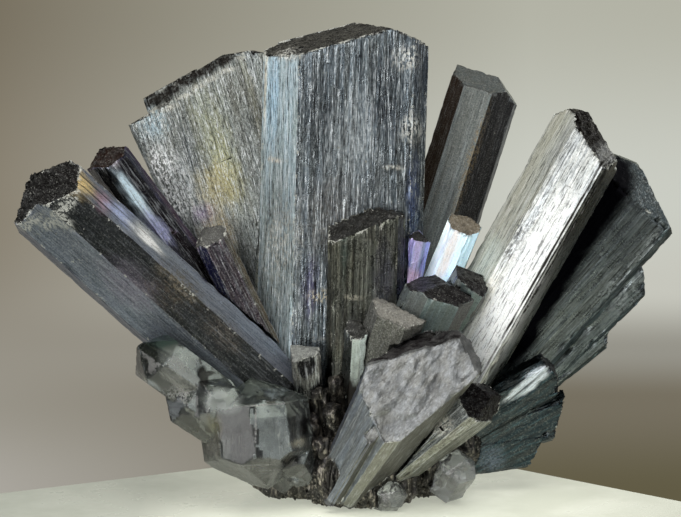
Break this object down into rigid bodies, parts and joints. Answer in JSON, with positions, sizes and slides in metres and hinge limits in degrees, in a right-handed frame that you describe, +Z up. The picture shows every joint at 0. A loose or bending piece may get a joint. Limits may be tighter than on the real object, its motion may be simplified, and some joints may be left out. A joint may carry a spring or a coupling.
{
  "type": "stibnite crystal spray",
  "caption": "Fan of striated metallic stibnite blades and prisms growing out of one broken root, with small glassy quartz crystals at its foot.",
  "frame": {"origin": "a point near the middle of the flat break under the root, on the plane that the spray rests on", "axes": "+X runs to the right across the fan as seen from its front, +Y from front to back, +Z up along the tall middle blade"},
  "size_m": [0.0655, 0.0267, 0.047],
  "materials": {
    "stibnite_silver": "bright metallic grey with fine striations along each crystal",
    "stibnite_bright": "near mirror-bright metallic, etched in patches",
    "stibnite_dark": "dark steel-grey metallic, striated, dulled by tarnish",
    "stibnite_tarnished": "metallic with blue, violet and gold tarnish colours",
    "stibnite_root": "rough, splintery, dark metallic",
    "quartz": "clear to smoky grey, glassy, with natural faces"
  },
  "bodies": {
    "root": {"root_mass": "stibnite_root", "centre_blade": "stibnite_silver", "front_blade": "stibnite_dark", "left_rear_blade": "stibnite_silver", "left_prism": "stibnite_dark", "left_slim_prism": "stibnite_tarnished", "left_needle": "stibnite_tarnished", "right_rear_prism": "stibnite_dark", "small_blue_prism": "stibnite_tarnished", "violet_prism": "stibnite_tarnished", "right_bright_prism": "stibnite_bright", "right_far_blade": "stibnite_dark", "lower_right_blade": "stibnite_dark", "foreground_prism": "stibnite_silver", "foreground_lower_prism": "stibnite_dark", "dark_stub": "stibnite_dark", "pale_stub": "stibnite_silver", "square_stub": "stibnite_dark", "bright_stub": "stibnite_bright", "quartz_cluster": "quartz", "quartz_grain_right": "quartz", "quartz_grain_front": "quartz"}
  },
  "joints": []
}
